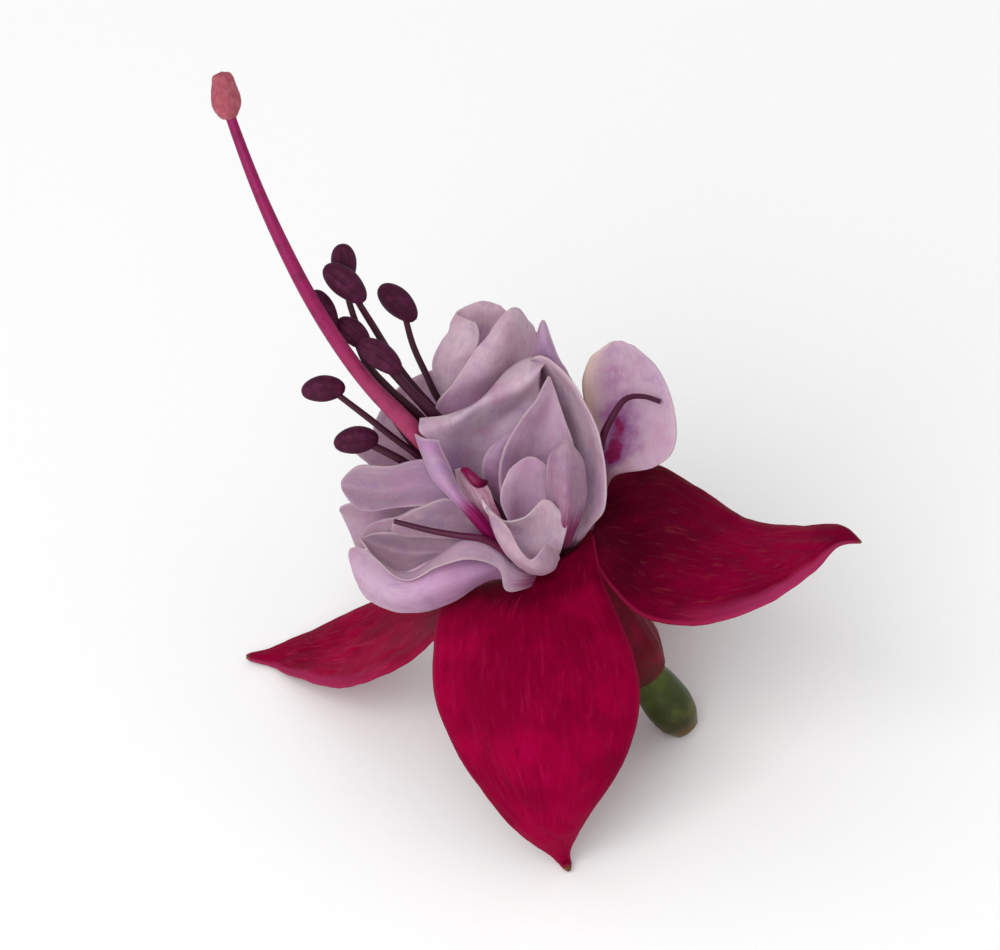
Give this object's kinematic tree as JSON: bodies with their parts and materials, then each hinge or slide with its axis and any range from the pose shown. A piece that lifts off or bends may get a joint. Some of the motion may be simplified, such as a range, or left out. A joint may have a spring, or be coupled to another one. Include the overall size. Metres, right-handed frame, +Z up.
{
  "type": "cut double fuchsia bloom",
  "caption": "Picked double fuchsia bloom: swept crimson sepals round a full skirt of folded lilac petals, with a long style and stamens reaching out and a green ovary behind.",
  "frame": {"origin": "on the resting surface, below the middle of the bloom's bounding box", "axes": "+Z up from the surface; +Y away from the viewer of the open face, along the bloom's shortest extent; +X to that viewer's right, with the style reaching up and to -X"},
  "size_m": [0.0648, 0.055, 0.0669],
  "materials": {
    "tube": "satin",
    "ovary": "smooth, slightly glossy",
    "stigma": "matt, finely bumpy",
    "anthers": "matt, powdery",
    "style": "satin",
    "filaments": "satin",
    "staminodes": "satin",
    "sepals": "satin, finely crinkled",
    "petals": "soft and matt, veined"
  },
  "bodies": {
    "root": {"calyx_tube": "tube", "ovary": "ovary", "stigma": "stigma", "anther_1": "anthers", "anther_2": "anthers", "anther_3": "anthers", "anther_4": "anthers", "anther_5": "anthers", "anther_6": "anthers", "anther_7": "anthers", "anther_8": "anthers", "style": "style", "filament_1": "filaments", "filament_2": "filaments", "filament_3": "filaments", "filament_4": "filaments", "filament_5": "filaments", "filament_6": "filaments", "filament_7": "filaments", "filament_8": "filaments", "staminode_left": "staminodes", "staminode_right": "staminodes", "sepal_front": "sepals", "sepal_right": "sepals", "sepal_left": "sepals", "sepal_back": "sepals", "petal_front_lobe": "petals", "petal_front_bowl": "petals", "petal_inner_lobe": "petals", "petal_inner_right": "petals", "petal_tongue": "petals", "petal_tongue_side": "petals", "petal_furled": "petals", "petal_striped": "petals", "petal_swirl": "petals", "petal_hood": "petals", "petal_outer_right": "petals", "petal_cup_lip": "petals", "petal_cup": "petals", "petal_left_inner": "petals", "petal_left_pale": "petals", "petal_left_upper": "petals", "petal_left_lower": "petals", "petal_upper": "petals", "petal_upper_rolled": "petals", "petal_side": "petals", "petal_back_lower": "petals", "petal_back_upper": "petals", "petal_back_left": "petals", "petal_back_middle": "petals", "petal_back_right": "petals"}
  },
  "joints": []
}
